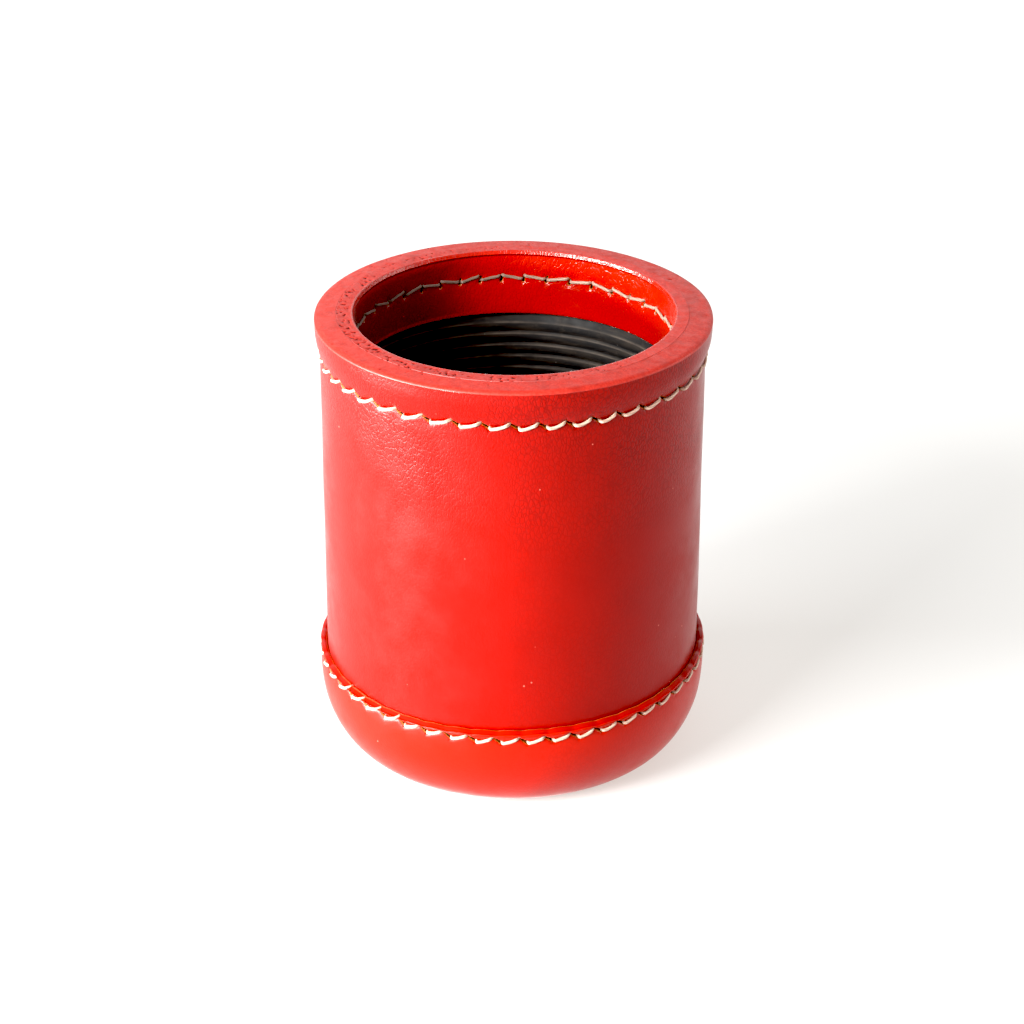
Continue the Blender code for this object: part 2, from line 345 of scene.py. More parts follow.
class Look:
    """A material whose Principled shader is fed by procedural nodes in the part's own coordinates."""

    def __init__(self, name):
        self.material = bpy.data.materials.new(name)
        self.material.use_nodes = True
        self.tree = self.material.node_tree
        self.shader = self.tree.nodes["Principled BSDF"]
        self.place = self.tree.nodes.new("ShaderNodeTexCoord").outputs["Object"]

    def put(self, socket, value):
        if isinstance(value, bpy.types.NodeSocket):
            self.tree.links.new(value, socket)
        else:
            socket.default_value = value

    def node(self, kind, output, settings=(), **inputs):
        """Adds a node, sets it up and returns an output. i0, i1 and so on are inputs by number."""
        node = self.tree.nodes.new(kind)
        for key, value in dict(settings).items():
            setattr(node, key, value)
        for key, value in inputs.items():
            numbered = key[0] == "i" and key[1:].isdigit()
            self.put(node.inputs[int(key[1:]) if numbered else key], value)
        return node.outputs[output]

    def stretched(self, x, y, z):
        return self.node("ShaderNodeMapping", "Vector", Vector=self.place, Scale=(x, y, z))

    def noise(self, size, detail=2.0, rough=0.5, place=None):
        """Noise from 0 to 1 with features of about that size in metres."""
        return self.node(
            "ShaderNodeTexNoise", "Fac",
            Vector=place or self.place, Scale=1 / size, Detail=detail, Roughness=rough,
        )

    def cells(self, size, feature="F1", place=None):
        """Distances in a pattern of cells of about that size in metres."""
        return self.node(
            "ShaderNodeTexVoronoi", "Distance", {"feature": feature},
            Vector=place or self.place, Scale=1 / size,
        )

    def value(self, name):
        return self.node("ShaderNodeAttribute", "Fac", {"attribute_name": name})

    def math(self, operation, a, b=0.0, c=0.0):
        return self.node("ShaderNodeMath", "Value", {"operation": operation}, i0=a, i1=b, i2=c)

    def ramp(self, value, low, high, start=0.0, end=1.0):
        """value between low and high, as a smooth step from start to end."""
        return self.node(
            "ShaderNodeMapRange", "Result", {"interpolation_type": "SMOOTHSTEP"},
            i0=value, i1=low, i2=high, i3=start, i4=end,
        )

    def mix(self, share, a, b):
        """Colour a where share is 0, and b where it is 1."""
        node = self.tree.nodes.new("ShaderNodeMix")
        node.data_type = "RGBA"
        self.put(node.inputs[0], share)
        self.put(node.inputs[6], a)
        self.put(node.inputs[7], b)
        return node.outputs[2]

    def bump(self, height, strength, depth, below=None):
        """A normal from a height of 0 to 1 that stands for depth in metres, on top of another normal."""
        inputs = {"Height": height, "Strength": strength, "Distance": depth}
        if below is not None:
            inputs["Normal"] = below
        return self.node("ShaderNodeBump", "Normal", **inputs)

    def set(self, **inputs):
        """Sets or links the shader's inputs, and returns the material."""
        names = {"color": "Base Color", "specular": "Specular IOR Level", "sheen": "Sheen Weight"}
        for key, value in inputs.items():
            self.put(self.shader.inputs[names.get(key, key.replace("_", " ").title())], value)
        return self.material


def rgb(red, green, blue):
    """A colour as it looks on screen, from 0 to 255, turned into the linear values that shaders take."""
    def linear(c):
        c /= 255
        return c / 12.92 if c <= 0.04045 else ((c + 0.055) / 1.055) ** 2.4
    return (linear(red), linear(green), linear(blue), 1.0)


def leather_grain(look, strength, normal=None):
    """Pebbled grain, strongest near the rim: small upright cells with creases between them."""
    warp = look.node("ShaderNodeTexNoise", "Color", Vector=look.place, Scale=420.0, Detail=2.0)
    shifted = look.node("ShaderNodeMix", 1, {"data_type": "VECTOR"}, i0=0.0011, i4=look.place, i5=warp)
    upright = look.node("ShaderNodeMapping", "Vector", Vector=shifted, Scale=(1.0, 1.0, 0.55))
    cells = look.ramp(look.cells(0.74 * MM, "DISTANCE_TO_EDGE", upright), 0.0, 0.20)
    up = look.node("ShaderNodeSeparateXYZ", "Z", Vector=look.place)
    upper = look.ramp(up, 60 * MM, 84 * MM, 0.24, 1.0)
    patchy = look.math("MULTIPLY", upper, look.ramp(look.noise(16 * MM, 2.0), 0.32, 0.62, 0.45, 1.0))
    small = look.noise(0.30 * MM, 3.0, 0.6)
    normal = look.bump(cells, look.math("MULTIPLY", patchy, strength), 0.034 * MM, normal)
    creases = look.math("MULTIPLY", look.math("SUBTRACT", 1.0, cells), patchy)
    return look.bump(small, strength * 0.5, 0.014 * MM, normal), creases


def red_leather(name, deep, bright, roughness, grain, creasing, specular):
    """Dyed leather, raw where it is cut open, with painted shade deep in the cuts. The light value lightens
    the dye above 0 and darkens it below 0: painted light on the base, painted shade on the facing's left.
    """
    look = Look(name)
    mottle = look.ramp(look.noise(17 * MM, 3.0, 0.55), 0.3, 0.7)
    fine = look.noise(1.1 * MM, 3.0, 0.6)
    normal, creases = leather_grain(look, grain)
    dye = look.mix(mottle, deep, bright)
    # Above 0 the light value lightens the dye: painted light on the base, for light thrown up from the floor.
    dye = look.mix(look.ramp(look.value("light"), 0.0, 1.0), dye, rgb(164, 19, 1))
    # Below 0 the light value darkens the dye: painted shade on the facing's left, and a thin dark line round
    # the mouth.
    dye = look.mix(look.ramp(look.value("light"), -1.0, -0.3, 0.85, 0.0), dye, rgb(60, 8, 5))
    dye = look.mix(look.math("MULTIPLY", creases, creasing), dye, rgb(92, 4, 2))
    dye = look.mix(look.ramp(fine, 0.62, 0.8, 0.0, 0.25), dye, rgb(130, 8, 4))
    specks = look.ramp(look.cells(6.5 * MM), 0.016, 0.034, 0.45, 0.0)
    dye = look.mix(specks, dye, rgb(255, 150, 130))

    raw = look.mix(look.ramp(look.noise(0.5 * MM, 3.0), 0.35, 0.65), rgb(176, 96, 48), rgb(214, 142, 88))
    colour = look.mix(look.value("raw"), dye, raw)
    cut = look.value("cut")
    frayed_and_shaded = look.math("ADD", cut, look.ramp(look.noise(0.35 * MM, 3.0, 0.6), 0.3, 0.7, -0.22, 0.22))
    colour = look.mix(look.ramp(frayed_and_shaded, 0.26, 0.50), colour, rgb(176, 96, 40))
    # Painted shade: the middle of each slit, its deepest part, is painted near black.
    colour = look.mix(look.ramp(frayed_and_shaded, 0.58, 0.84), colour, rgb(34, 14, 7))

    dull = look.ramp(look.noise(9 * MM, 3.0, 0.6), 0.3, 0.75, roughness - 0.05, roughness + 0.09)
    dull = look.math("MAXIMUM", dull, look.ramp(cut, 0.2, 0.6, 0.0, 0.85))
    dull = look.math("MAXIMUM", dull, look.ramp(look.value("raw"), 0.2, 0.7, 0.0, 0.8))
    return look.set(
        color=colour, roughness=dull, normal=normal, specular=specular, sheen=0.22, sheen_roughness=0.22,
    )


def red_edge(name):
    """The cut edges round the mouth: fibres sealed with red paint, rubbed in places."""
    look = Look(name)
    fibres = look.noise(0.45 * MM, 4.0, 0.65)
    paint = look.mix(look.ramp(fibres, 0.35, 0.7), rgb(162, 32, 22), rgb(186, 50, 38))
    worn = look.ramp(look.noise(5 * MM, 3.0, 0.6), 0.48, 0.75, 0.0, 0.55)
    paint = look.mix(worn, paint, rgb(136, 30, 22))
    flecks = look.ramp(look.noise(0.7 * MM, 3.0, 0.6), 0.66, 0.76, 0.0, 0.6)
    paint = look.mix(flecks, paint, rgb(92, 18, 14))
    paint = look.mix(look.value("raw"), paint, rgb(120, 110, 110))
    bevel = look.value("bevel")
    paint = look.mix(look.ramp(bevel, 0.0, 1.0), paint, rgb(158, 12, 4))
    cut = look.value("cut")
    paint = look.mix(look.ramp(cut, 0.25, 0.75), paint, rgb(78, 8, 8))
    normal = look.bump(look.noise(3 * MM, 3.0), 0.5, 0.06 * MM)
    normal = look.bump(fibres, 0.7, 0.035 * MM, normal)
    dull = look.ramp(look.noise(1.5 * MM, 3.0), 0.3, 0.75, 0.42, 0.58)
    dull = look.math("MAXIMUM", dull, look.math("MULTIPLY", bevel, 0.85))
    dull = look.math("ADD", dull, look.math("MINIMUM", bevel, 0.0))
    dull = look.math("MAXIMUM", dull, look.ramp(cut, 0.2, 0.6, 0.0, 0.85))
    return look.set(color=paint, roughness=dull, normal=normal, specular=0.38)


def black_rubber():
    """Matt rubber with dust, and a painted highlight along one flank of each rib."""
    look = Look("black_rubber")
    dust = look.ramp(look.noise(2.3 * MM, 4.0, 0.65), 0.52, 0.8)
    streak = look.ramp(look.noise(7 * MM, 3.0, 0.6, look.stretched(1.0, 1.0, 6.0)), 0.4, 0.75)
    colour = look.mix(look.math("MULTIPLY", dust, 0.5), rgb(40, 40, 41), rgb(66, 61, 56))
    colour = look.mix(look.math("MULTIPLY", streak, 0.35), colour, rgb(76, 68, 60))
    specks = look.ramp(look.cells(3.4 * MM), 0.03, 0.06, 0.5, 0.0)
    colour = look.mix(specks, colour, rgb(110, 106, 100))
    uneven = look.ramp(look.noise(5 * MM, 3.0), 0.25, 0.75, 0.08, 0.6)
    # Painted highlight: a pale line on the upper flank of each rib, uneven along its length.
    flank_highlight = look.math("MULTIPLY", look.value("flank"), uneven)
    colour = look.mix(flank_highlight, colour, rgb(118, 108, 98))
    normal = look.bump(look.noise(0.5 * MM, 4.0, 0.6), 0.5, 0.03 * MM)
    dull = look.ramp(look.noise(3 * MM, 3.0), 0.3, 0.8, 0.52, 0.70)
    return look.set(color=colour, roughness=dull, normal=normal, specular=0.16)


def cream_thread():
    """Waxed thread: pale strands with painted shade in the lines between them, soiled patches, and painted
    shade inside the mouth.
    """
    look = Look("cream_thread")
    strand = look.value("strand")
    soiled = look.ramp(look.noise(2.6 * MM, 3.0, 0.6), 0.48, 0.8)
    # Painted shade: the lines between the strands are darker.
    colour = look.mix(look.ramp(strand, 0.0, 0.5, 0.6, 0.0), rgb(190, 160, 142), rgb(126, 90, 70))
    colour = look.mix(look.math("MULTIPLY", soiled, 0.5), colour, rgb(162, 124, 98))
    # Painted shade: thread inside the mouth is darkened, most at the left, which lies in shade.
    colour = look.mix(look.math("MULTIPLY", look.value("inside"), 0.94), colour, rgb(84, 68, 60))
    fibres = look.noise(0.16 * MM, 3.0, 0.7)
    normal = look.bump(fibres, 0.6, 0.04 * MM)
    dull = look.ramp(soiled, 0.0, 1.0, 0.5, 0.72)
    return look.set(
        color=colour, roughness=dull, normal=normal, specular=0.4, sheen=0.15, sheen_roughness=0.5,
    )


def brown_board():
    """Bare pressed fibre board."""
    look = Look("brown_board")
    fibres = look.noise(0.9 * MM, 5.0, 0.7, look.stretched(1.0, 1.0, 3.0))
    colour = look.mix(fibres, rgb(116, 82, 54), rgb(158, 122, 86))
    normal = look.bump(fibres, 0.6, 0.10 * MM)
    dull = look.ramp(fibres, 0.2, 0.8, 0.75, 0.95)
    return look.set(color=colour, roughness=dull, normal=normal)


def pale_floor():
    """White paper. It glows a little, as if lit from below, so that shadows on it stay pale."""
    look = Look("pale_floor")
    colour = look.mix(look.noise(0.4, 2.0), rgb(158, 161, 164), rgb(162, 165, 168))
    across = look.node("ShaderNodeVectorMath", "Value", {"operation": "LENGTH"}, i0=look.place)
    # Painted light: the glow grows far from the cup, and a ring of extra glow close round the cup lifts the
    # shade it casts.
    outer, middle = look.ramp(across, 0.18, 0.60, 0.46, 0.82), look.ramp(across, 0.045, 0.14, 0.10, 0.0)
    glow = look.math("ADD", outer, middle)
    return look.set(
        color=colour, roughness=0.8, specular=0.1,
        emission_color=(1.0, 0.955, 0.88, 1.0), emission_strength=glow,
    )


# ---------------------------------------------------------------- leather pieces

def wall_piece(material, edge_material):
    """The rolled wall: a strip with its ends butted, pinched at the rim stitches and flaring above them."""
    slits = rim_slits()
    joint = between(slits, 11)
    angles = strip_columns(columns_for(slits, WALL_RADIUS), joint)

    flare_low, flare_high = RIM_STITCH_Z - 2.0 * MM, HEIGHT - 2.6 * MM
    bevel_wide, bevel_drop, ledge = 1.45 * MM, 1.0 * MM, 0.07 * MM
    bevel_z = HEIGHT - bevel_drop
    stitch_low, stitch_high = RIM_STITCH_Z - 2.6 * MM, RIM_STITCH_Z + 2.2 * MM
    heights = span(BASE_TOP - 3.0 * MM, stitch_low, 4.0 * MM)
    heights += span(stitch_low, stitch_high, 0.15 * MM)
    heights += span(stitch_high, bevel_z - 0.25 * MM, 0.6 * MM)
    flare = RIM_RADIUS - ledge - WALL_RADIUS
    flared = [float(smooth((z - flare_low) / (flare_high - flare_low))) for z in heights]
    side = [(WALL_RADIUS + flare * share, z) for share, z in zip(flared, heights)]
    side += [(RIM_RADIUS - ledge, bevel_z - 0.25 * MM), (RIM_RADIUS - ledge, bevel_z - 0.13 * MM)]

    inner = WALL_INSIDE - 0.185 * MM
    top = [(RIM_RADIUS - 0.01 * MM, bevel_z - 0.10 * MM), (RIM_RADIUS, bevel_z - 0.04 * MM)]
    top += arc((RIM_RADIUS - bevel_wide, bevel_z), (bevel_wide, bevel_drop - 0.28 * MM), 14, 86, 9)
    top_outer = (RIM_RADIUS - bevel_wide, HEIGHT - 0.28 * MM)
    top_inner = (inner + 0.07 * MM, HEIGHT - 0.04 * MM)
    top += line(top_outer, top_inner, 0.25 * MM)
    top += arc((inner + 0.07 * MM, HEIGHT - 0.11 * MM), (0.07 * MM, 0.07 * MM), 90, 180, 4)
    inside = line((inner, HEIGHT - 0.11 * MM), (inner, WALL_FOOT_Z), 20 * MM)
    foot = line((inner, WALL_FOOT_Z), (WALL_INSIDE + 1.2 * MM, WALL_FOOT_Z), 1 * MM)
    foot += line((WALL_INSIDE + 1.2 * MM, WALL_FOOT_Z), (WALL_RADIUS, BASE_TOP - 3.0 * MM), 5 * MM)
    outline = np.array(side + top + inside + foot)
    sides, tops = len(side), len(top)

    depth, cut = stitch_marks(angles, outline[:, 1], WALL_RADIUS, slits, RIM_STITCH_Z)
    outer = np.zeros(len(outline))
    outer[:sides] = 1
    push = -depth * outer
    rolled = skin_points(angles, outline, push)
    push[:, :sides + tops] += 0.09 * MM * lumps(rolled[:, :sides + tops], 26 * MM, 1)
    face = slice(sides + 8, sides + tops - 4)
    push[:, face] += 0.035 * MM * lumps(rolled[:, face], 2.4 * MM, 2, 3)
    nicks = smooth((lumps(rolled[:, face], 1.3 * MM, 12, 3) - 0.62) / 0.2)
    push[:, face] -= 0.12 * MM * nicks

    push[:, :sides] -= end_rounding(angles, joint, WALL_RADIUS)[:, None]

    raw = np.zeros_like(push)
    raw[:, sides + tops:] = 1
    cut *= outer
    cut[:, face] = 0.6 * nicks
    bevel = np.zeros_like(push)
    bevel[:, sides:sides + 2] = -0.4 * smooth((np.cos(angles + math.radians(14)) - 0.86) / 0.1)[:, None]
    sideways = 0.55 - 0.45 * np.cos(angles - math.radians(40))
    bevel[:, sides + 2:sides + 9] = np.linspace(1.0, 0.35, 7)[None, :] * sideways[:, None]
    points = skin_points(angles, outline, push)
    swell = 0.38 * MM * smooth(1.3 - np.abs(wrapped(angles - math.radians(88))) / math.radians(42))
    high_up = smooth((outline[:, 1] - RIM_STITCH_Z) / (4 * MM)) * (outline[:, 0] > inner + 1 * MM)
    points[:, :, :2] *= 1 + (swell[:, None] * high_up[None, :] / RIM_RADIUS)[:, :, None]
    obj = strip_object("wall_leather", points, material, {"cut": cut, "raw": raw, "bevel": bevel})
    return with_edge(obj, len(outline), sides, sides + tops, edge_material)


def band_piece(material, edge_material):
    """The facing inside the mouth. Its opening sits a little to the right of the rim's centre."""
    slits = rim_slits()
    joint = between(slits, 41)
    angles = strip_columns(columns_for(slits, MOUTH_RADIUS), joint)
    outside, bevel, bevel_drop = BAND_OUTSIDE + 0.15 * MM, 0.35 * MM, 0.75 * MM
    stitch_low, stitch_high = INNER_STITCH_Z - 2.4 * MM, INNER_STITCH_Z + 2.4 * MM

    outer = line((outside, BAND_BOTTOM), (outside, HEIGHT - 0.09 * MM), 8 * MM)
    top = arc((outside - 0.08 * MM, HEIGHT - 0.08 * MM), (0.08 * MM, 0.08 * MM), 0, 90, 4)
    top += line((outside - 0.08 * MM, HEIGHT), (MOUTH_RADIUS + bevel, HEIGHT), 0.22 * MM)
    rolled_in = [(MOUTH_RADIUS + bevel, HEIGHT), (MOUTH_RADIUS + bevel * 0.75, HEIGHT - 0.04 * MM)]
    roll_high = (MOUTH_RADIUS + bevel * 0.6, HEIGHT - 0.12 * MM)
    roll_low = (MOUTH_RADIUS, HEIGHT - bevel_drop)
    rolled_in += line(roll_high, roll_low, 0.2 * MM)
    lip_in = [(MOUTH_RADIUS - 0.05 * MM, HEIGHT - bevel_drop - down) for down in (0.0, 0.07 * MM)]
    heights = span(HEIGHT - bevel_drop - 0.16 * MM, stitch_high, 0.5 * MM)
    heights += span(stitch_high, stitch_low, 0.15 * MM)
    heights += span(stitch_low, BAND_BOTTOM + 0.35 * MM, 0.8 * MM)
    inner = rolled_in + lip_in + [(MOUTH_RADIUS, z) for z in heights]
    hem = arc((MOUTH_RADIUS + 0.35 * MM, BAND_BOTTOM + 0.35 * MM), (0.35 * MM, 0.35 * MM), 180, 270, 3)
    hem += line((MOUTH_RADIUS + 0.35 * MM, BAND_BOTTOM), (outside, BAND_BOTTOM), 0.8 * MM)
    outline = np.array(outer + top + inner + hem)
    top_at, inner_at = len(outer), len(outer) + len(top)
    hem_at = inner_at + len(inner)
    groove = inner_at + len(rolled_in) + len(lip_in)

    depth, cut = stitch_marks(angles, outline[:, 1], MOUTH_RADIUS, slits, INNER_STITCH_Z, inside=True)
    facing = np.zeros(len(outline))
    facing[groove:hem_at] = 1
    push = -depth * facing
    toward_mouth = np.clip((outside - outline[:, 0]) / (outside - MOUTH_RADIUS), 0, 1)
    plain = skin_points(angles, outline, push)
    push[:, inner_at:hem_at] += 0.05 * MM * lumps(plain[:, inner_at:hem_at], 9 * MM, 3)
    push[:, groove:hem_at] += 0.05 * MM * lumps(plain[:, groove:hem_at], 1.6 * MM, 13, 2)
    push[:, top_at:inner_at] += 0.04 * MM * lumps(plain[:, top_at:inner_at], 2.2 * MM, 4, 3)
    pits = lumps(plain[:, top_at:inner_at], 0.72 * MM, 5, 3)
    left = 0.5 - 0.5 * np.sin(angles - 0.40)[:, None]
    pitted = smooth((pits - 0.60 + 0.30 * left) / 0.16) * smooth(left * 1.6)
    clear_of_line = smooth((outline[top_at:inner_at, 0] - MOUTH_RADIUS - 0.7 * MM) / (0.6 * MM))[None, :]
    pitted = pitted * clear_of_line
    push[:, top_at:inner_at] -= 0.16 * MM * pitted

    push[:, inner_at:hem_at] -= end_rounding(angles, joint, MOUTH_RADIUS)[:, None]

    points = skin_points(angles, outline, push)
    points[:, :, 0] += MOUTH_TO_RIGHT * toward_mouth
    points[:, :, 1] += MOUTH_TO_BACK * toward_mouth
    cut = cut * facing
    light = np.zeros_like(push)
    # Painted shade: the facing's left side, which lies in shade, is darkened from a little below the rim
    # down.
    painted_shade = smooth((np.cos(angles + math.radians(95)) + 0.1) / 0.8)[:, None]
    from_rim = smooth((HEIGHT + 1.0 * MM - outline[groove:hem_at, 1]) / (4 * MM))
    light[:, groove:hem_at] = -0.80 * painted_shade * from_rim
    cut[:, top_at:inner_at] = pitted
    light[:, groove - 1:groove + 1] = -1
    raw = np.zeros_like(push)
    raw[:, top_at - 1:top_at + 3] = 0.5 * smooth(left * 1.5)
    obj = strip_object("band_leather", points, material, {"cut": cut, "light": light, "raw": raw})
    return with_edge(obj, len(outline), top_at, inner_at, edge_material)


def base_piece(material):
    """The moulded base: flat underside, tall round corner, and a raw-edged lip pinched by the stitches."""
    slits = base_slits()
    angles = columns_for(slits, BASE_RADIUS)
    belly = BASE_RADIUS - 0.15 * MM
    sleeve = WALL_RADIUS + 0.04 * MM
    stitch_low, stitch_high = BASE_STITCH_Z - 2.3 * MM, BASE_TOP - 0.60 * MM
    corner = (belly - BASE_FLAT_RADIUS, BASE_CORNER_TOP)

    under = line((BASE_FLAT_RADIUS * 0.6, 0.0), (BASE_FLAT_RADIUS, 0.0), 3.0 * MM)
    under += arc((BASE_FLAT_RADIUS, BASE_CORNER_TOP), corner, -90, 0, 26)
    side = [(belly, z) for z in span(stitch_low, stitch_high, 0.15 * MM)]
    lip = [(belly, stitch_high), (belly - 0.02 * MM, stitch_high + 0.12 * MM)]
    lip += arc((BASE_RADIUS - 0.50 * MM, stitch_high + 0.2 * MM), (0.33 * MM, 0.22 * MM), 10, 70, 3)
    crown_start = (BASE_RADIUS - 0.42 * MM, stitch_high + 0.42 * MM)
    crown_end = (sleeve + 0.06 * MM, BASE_TOP - 0.50 * MM)
    crown = line(crown_start, crown_end, 0.22 * MM)
    crown_bulge = [0.12 * MM * math.sin(math.pi * i / len(crown)) for i in range(len(crown))]
    crown = [(r, z + bulge) for (r, z), bulge in zip(crown, crown_bulge)]
    hidden = line((sleeve - 0.03 * MM, BASE_TOP - 0.60 * MM), (sleeve - 0.03 * MM, BASE_CORNER_TOP), 2 * MM)
    inner = (sleeve - BASE_FLAT_RADIUS, BASE_CORNER_TOP - BASE_THICKNESS)
    hidden += arc((BASE_FLAT_RADIUS, BASE_CORNER_TOP), inner, 0, -90, 8)
    hidden += [(BASE_FLAT_RADIUS, BASE_THICKNESS), (BASE_FLAT_RADIUS * 0.6, BASE_THICKNESS)]
    outline = np.array(under + side + lip + crown + hidden)
    side_at = len(under)
    lip_at = side_at + len(side)
    crown_at = lip_at + len(lip)
    hidden_at = crown_at + len(crown)

    depth, cut = stitch_marks(angles, outline[:, 1], BASE_RADIUS, slits, BASE_STITCH_Z)
    outer = np.zeros(len(outline))
    outer[side_at - 6:crown_at] = 1
    outer[lip_at:crown_at] = 1 - np.linspace(0, 1, crown_at - lip_at)
    push = -depth * outer
    flared = smooth((outline[:, 1] - BASE_STITCH_Z) / (1.2 * MM))
    push[:, side_at:lip_at] += 0.15 * MM * flared[side_at:lip_at]
    plain = skin_points(angles, outline, push)
    uneven, off_floor = lumps(plain[:, 8:hidden_at], 21 * MM, 6), smooth(outline[8:hidden_at, 1] / (4 * MM))
    push[:, 8:hidden_at] += 0.08 * MM * uneven * off_floor
    points = skin_points(angles, outline, push)

    tug = np.zeros(len(angles))
    for slit in slits:
        tug += np.exp(-(wrapped(angles - slit) * BASE_RADIUS / (1.1 * MM)) ** 2)
    sag = smooth((outline[:, 1] - BASE_STITCH_Z - 0.4 * MM) / (1.0 * MM)) * (outline[:, 1] > BASE_STITCH_Z)
    ragged = lumps(points[:, crown_at:hidden_at], 3.2 * MM, 7)
    points[:, :, 2] -= 0.16 * MM * tug[:, None] * sag[None, :]
    points[:, crown_at:hidden_at, 2] += 0.05 * MM * (ragged - 0.4)
    in_sight, up = np.arange(len(outline)) < hidden_at + 2, outline[:, 1] - BASE_STITCH_Z
    lifted = smooth((up + 9 * MM) / (6.7 * MM)) * in_sight
    dipped = smooth((up - 0.3 * MM) / (1.5 * MM)) * in_sight
    points[:, :, 2] += base_row_lift(angles)[:, None] * lifted[None, :]
    points[:, :, 2] -= base_lip_drop(angles)[:, None] * dipped[None, :]
    rising = np.zeros(len(outline))
    rising[side_at:crown_at] = dipped[side_at:crown_at]
    rising[crown_at:hidden_at] = 1 - np.linspace(0, 1, hidden_at - crown_at) ** 1.3
    in_front = smooth(np.cos(angles) / 0.7)
    points[:, :, 2] -= 0.85 * MM * in_front[:, None] * rising[None, :]

    raw = np.zeros_like(push)
    raw[:, hidden_at - 1] = 0.42 + 0.20 * smooth(np.sin(angles))
    raw[:, hidden_at + 1:] = 1
    # Painted light: the whole base's dye is lightened, less on the crown, for light thrown up from the floor.
    light = np.ones_like(push)
    light[:, crown_at:hidden_at] = 0.55
    values = {"cut": cut * outer, "light": light, "raw": raw}
    return disc_object("base_leather", points, (5, 5), material, values)


# ---------------------------------------------------------------- rubber pieces

def liner_piece(material):
    """Ribbed sheet: rounded ridges one pitch apart, with narrow valleys between."""
    columns = 400
    joint = math.radians(38)
    half_gap = 0.05 * MM / RIB_ROOT
    angles = np.linspace(joint + half_gap, joint + math.tau - half_gap, columns)
    back, low, high = LINER_HIGH.x, LINER_LOW.z, LINER_HIGH.z
    first_crest, samples = high - 2.9 * MM, 12
    outline = [(back, low), (back, high), (RIB_ROOT, high), (RIB_ROOT, high - 0.3 * MM)]
    ribs = int((first_crest - low) / RIB_PITCH + 0.5)
    for i in range(ribs):
        for k in range(samples):
            x = -1 + 2 * (k + 0.5) / samples
            bulge = 0.35 + 0.65 * math.sqrt(1 - (0.9 * x) ** 2)
            outline.append((RIB_ROOT - (RIB_ROOT - RIB_CREST) * bulge, first_crest - RIB_PITCH * (i + x / 2)))
    outline.append((RIB_ROOT, low))
    outline = np.array([p for p in outline if low <= p[1] <= high])
    push = np.zeros((columns, len(outline)))
    plain = skin_points(angles, outline, push)
    push[:, 2:] += 0.07 * MM * lumps(plain[:, 2:], 14 * MM, 8)
    along = wrapped((first_crest - outline[:, 1]) / RIB_PITCH * math.tau) / math.pi
    # Where the rubber's painted highlight lies: a narrow band on the upper flank of each rib.
    flank = np.exp(-((along + 0.62) / 0.11) ** 2) * (outline[:, 1] < high - 0.4 * MM)
    values = {"flank": np.tile(flank, (columns, 1))}
    return strip_object("liner_rubber", skin_points(angles, outline, push), material, values)


def pad_piece(material):
    """The rubber disc on the floor, with a rounded edge and a shallow worn dish."""
    columns, radius = 240, PAD_HIGH.x
    angles = np.linspace(0, math.tau, columns, endpoint=False)
    low, high = PAD_LOW.z, PAD_HIGH.z
    outline = line((radius * 0.5, low), (radius, low), 6 * MM)
    outline += line((radius, low), (radius, high - 0.6 * MM), 1.2 * MM)
    outline += arc((radius - 0.6 * MM, high - 0.6 * MM), (0.6 * MM, 0.6 * MM), 0, 90, 5)
    outline += line((radius - 0.6 * MM, high), (radius * 0.5, high), 1.2 * MM)
    outline = np.array(outline)
    push = np.zeros((columns, len(outline)))
    plain = skin_points(angles, outline, push)
    top = outline[:, 1] > high - 0.3 * MM
    push[:, top] += 0.05 * MM * (lumps(plain[:, top], 6 * MM, 9) - 1)
    return disc_object("pad_rubber", skin_points(angles, outline, push), (5, 4), material, {})


# ---------------------------------------------------------------- thread

def thread_line(slits, outer_level, inner_level, outer_radius, inner_radius, rng):
    """Centre points of one thread that goes round twice, and how high each lies off the faces it crosses.

    The levels and radii are those of the faces at an angle. The two laps cross inside each slit, one on each
    side of it, so every outer stitch rises to the right as seen from outside. The inner ones rise and fall by
    turns.
    """
    count = len(slits)
    points = []
    for step in range(2 * count):
        here, there = slits[step % count], slits[(step + 1) % count]
        if there < here:
            there += math.tau
        outside = step % 2 == 0
        face, level = (outer_radius, outer_level) if outside else (inner_radius, inner_level)
        side = 1 if outside else -1
        start_aside = (SLIT_HALF_SPREAD + THREAD_START_ASIDE if outside else INNER_ASIDE) / face(here)
        end_aside = (SLIT_HALF_SPREAD * 0.92 if outside else INNER_ASIDE) / face(here)
        lift = rng.uniform(-0.08, 0.08) * MM
        rise = SLIT_HALF_DROP * (1 + rng.uniform(-0.12, 0.18))
        slope = (1 if step % 4 == 1 else -1) * rng.uniform(0.25, 0.60) * MM
        row = []
        for k in range(POINTS_PER_STITCH):
            u = k / (POINTS_PER_STITCH - 1)
            angle = here + start_aside + (there - here - start_aside - end_aside) * u
            if outside:
                height = level(angle) + rise * float(stitch_rise(u))
                height += lift * math.sin(math.pi * min(1, u * 1.2))
            else:
                height = level(angle) + slope * (2 * u - 1) + lift
            start, end = min(1, u / 0.09), min(1, (1 - u) / (0.24 if outside else 0.12))
            stand = (-0.75 + 0.92 * math.sin(start * math.pi / 2) * math.sin(end * math.pi / 2)) * MM
            row.append((angle, face(angle) + side * stand, height))
        first, last = row[0], row[-1]
        points.append((first[0], face(first[0]) - side * THREAD_IN_LEATHER, first[2]))
        points += row
        points.append((last[0], face(last[0]) - side * THREAD_IN_LEATHER, last[2]))
    return points


